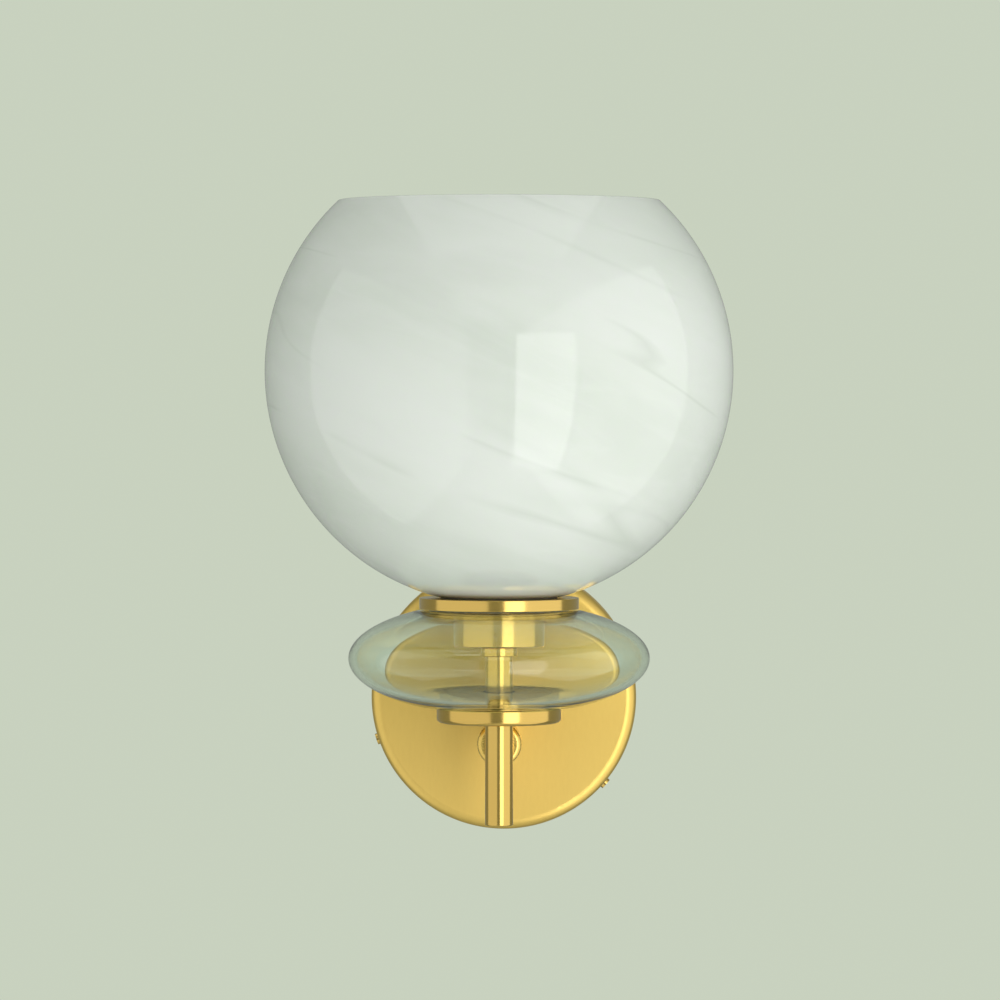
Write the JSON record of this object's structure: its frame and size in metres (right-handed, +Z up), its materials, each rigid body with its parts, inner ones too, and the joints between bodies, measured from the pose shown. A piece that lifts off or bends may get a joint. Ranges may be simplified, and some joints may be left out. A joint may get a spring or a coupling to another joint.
{
  "type": "uplighter wall sconce",
  "caption": "Wall light with an open alabaster globe over a green glass oval and a brass stem, held by a short arm on a round brass wall plate.",
  "frame": {"origin": "centre of the round wall plate, on the wall surface", "axes": "+Z up, +X to the right seen from the room, -Y out of the wall into the room"},
  "size_m": [0.2, 0.212, 0.2768],
  "materials": {
    "brass_satin": "satin",
    "zinc_steel": "satin",
    "block_plastic": "matte",
    "seal_rubber": "matte",
    "green_glass": "polished",
    "alabaster": "polished",
    "holder_plastic": "gloss",
    "contact_brass": "bright",
    "lamp_metal": "bright",
    "lamp_opal": "opal",
    "live_sheath": "matte",
    "neutral_sheath": "matte",
    "earth_sheath": "matte"
  },
  "bodies": {
    "root": {"backplate": "brass_satin", "wall_bracket": "zinc_steel", "terminal_block": "block_plastic", "terminal_screws": "zinc_steel", "earth_washer": "zinc_steel", "earth_screw": "zinc_steel", "arm_tube": "brass_satin", "arm_washer": "zinc_steel", "arm_nut": "zinc_steel", "knuckle": "brass_satin", "stem": "brass_satin", "lower_disc": "brass_satin", "disc_seal": "seal_rubber", "inner_sleeve": "brass_satin", "collar": "brass_satin", "cup": "brass_satin", "gallery_seal": "seal_rubber", "gallery": "brass_satin", "threaded_rod": "zinc_steel", "glass_body": "green_glass", "globe": "alabaster", "globe_seal": "seal_rubber", "ring_seal": "seal_rubber", "lampholder_sleeve": "holder_plastic", "lampholder_insert": "holder_plastic", "centre_contact": "contact_brass", "thread_shell": "contact_brass", "live_wire": "live_sheath", "neutral_wire": "neutral_sheath", "earth_wire": "earth_sheath"},
    "lamp": {"lamp_cap": "lamp_metal", "lamp_tip": "lamp_metal", "lamp_core": "lamp_opal", "lamp_glass": "lamp_opal"},
    "shade_ring": {"shade_ring": "holder_plastic"},
    "side_screw_1": {"side_screw_1": "brass_satin"},
    "side_screw_2": {"side_screw_2": "brass_satin"},
    "side_screw_3": {"side_screw_3": "brass_satin"}
  },
  "joints": [
    {"name": "lamp_turn", "type": "hinge", "parent": "root", "child": "lamp", "pos_m": [0, -0.112, 0.0652], "axis": [0, 0, 1], "range_deg": [0, 1080]},
    {"name": "ring_turn", "type": "hinge", "parent": "root", "child": "shade_ring", "pos_m": [0, -0.112, 0.0574], "axis": [0, 0, 1], "range_deg": [0, 1440]},
    {"name": "side_screw_1_turn", "type": "hinge", "parent": "root", "child": "side_screw_1", "pos_m": [0.04453, -0.009, -0.03871], "axis": [0.7547, 0, -0.6561], "range_deg": [0, 1440]},
    {"name": "side_screw_2_turn", "type": "hinge", "parent": "root", "child": "side_screw_2", "pos_m": [0.01126, -0.009, 0.05792], "axis": [0.1908, 0, 0.9816], "range_deg": [0, 1440]},
    {"name": "side_screw_3_turn", "type": "hinge", "parent": "root", "child": "side_screw_3", "pos_m": [-0.05579, -0.009, -0.01921], "axis": [-0.9455, 0, -0.3256], "range_deg": [0, 1440]}
  ]
}
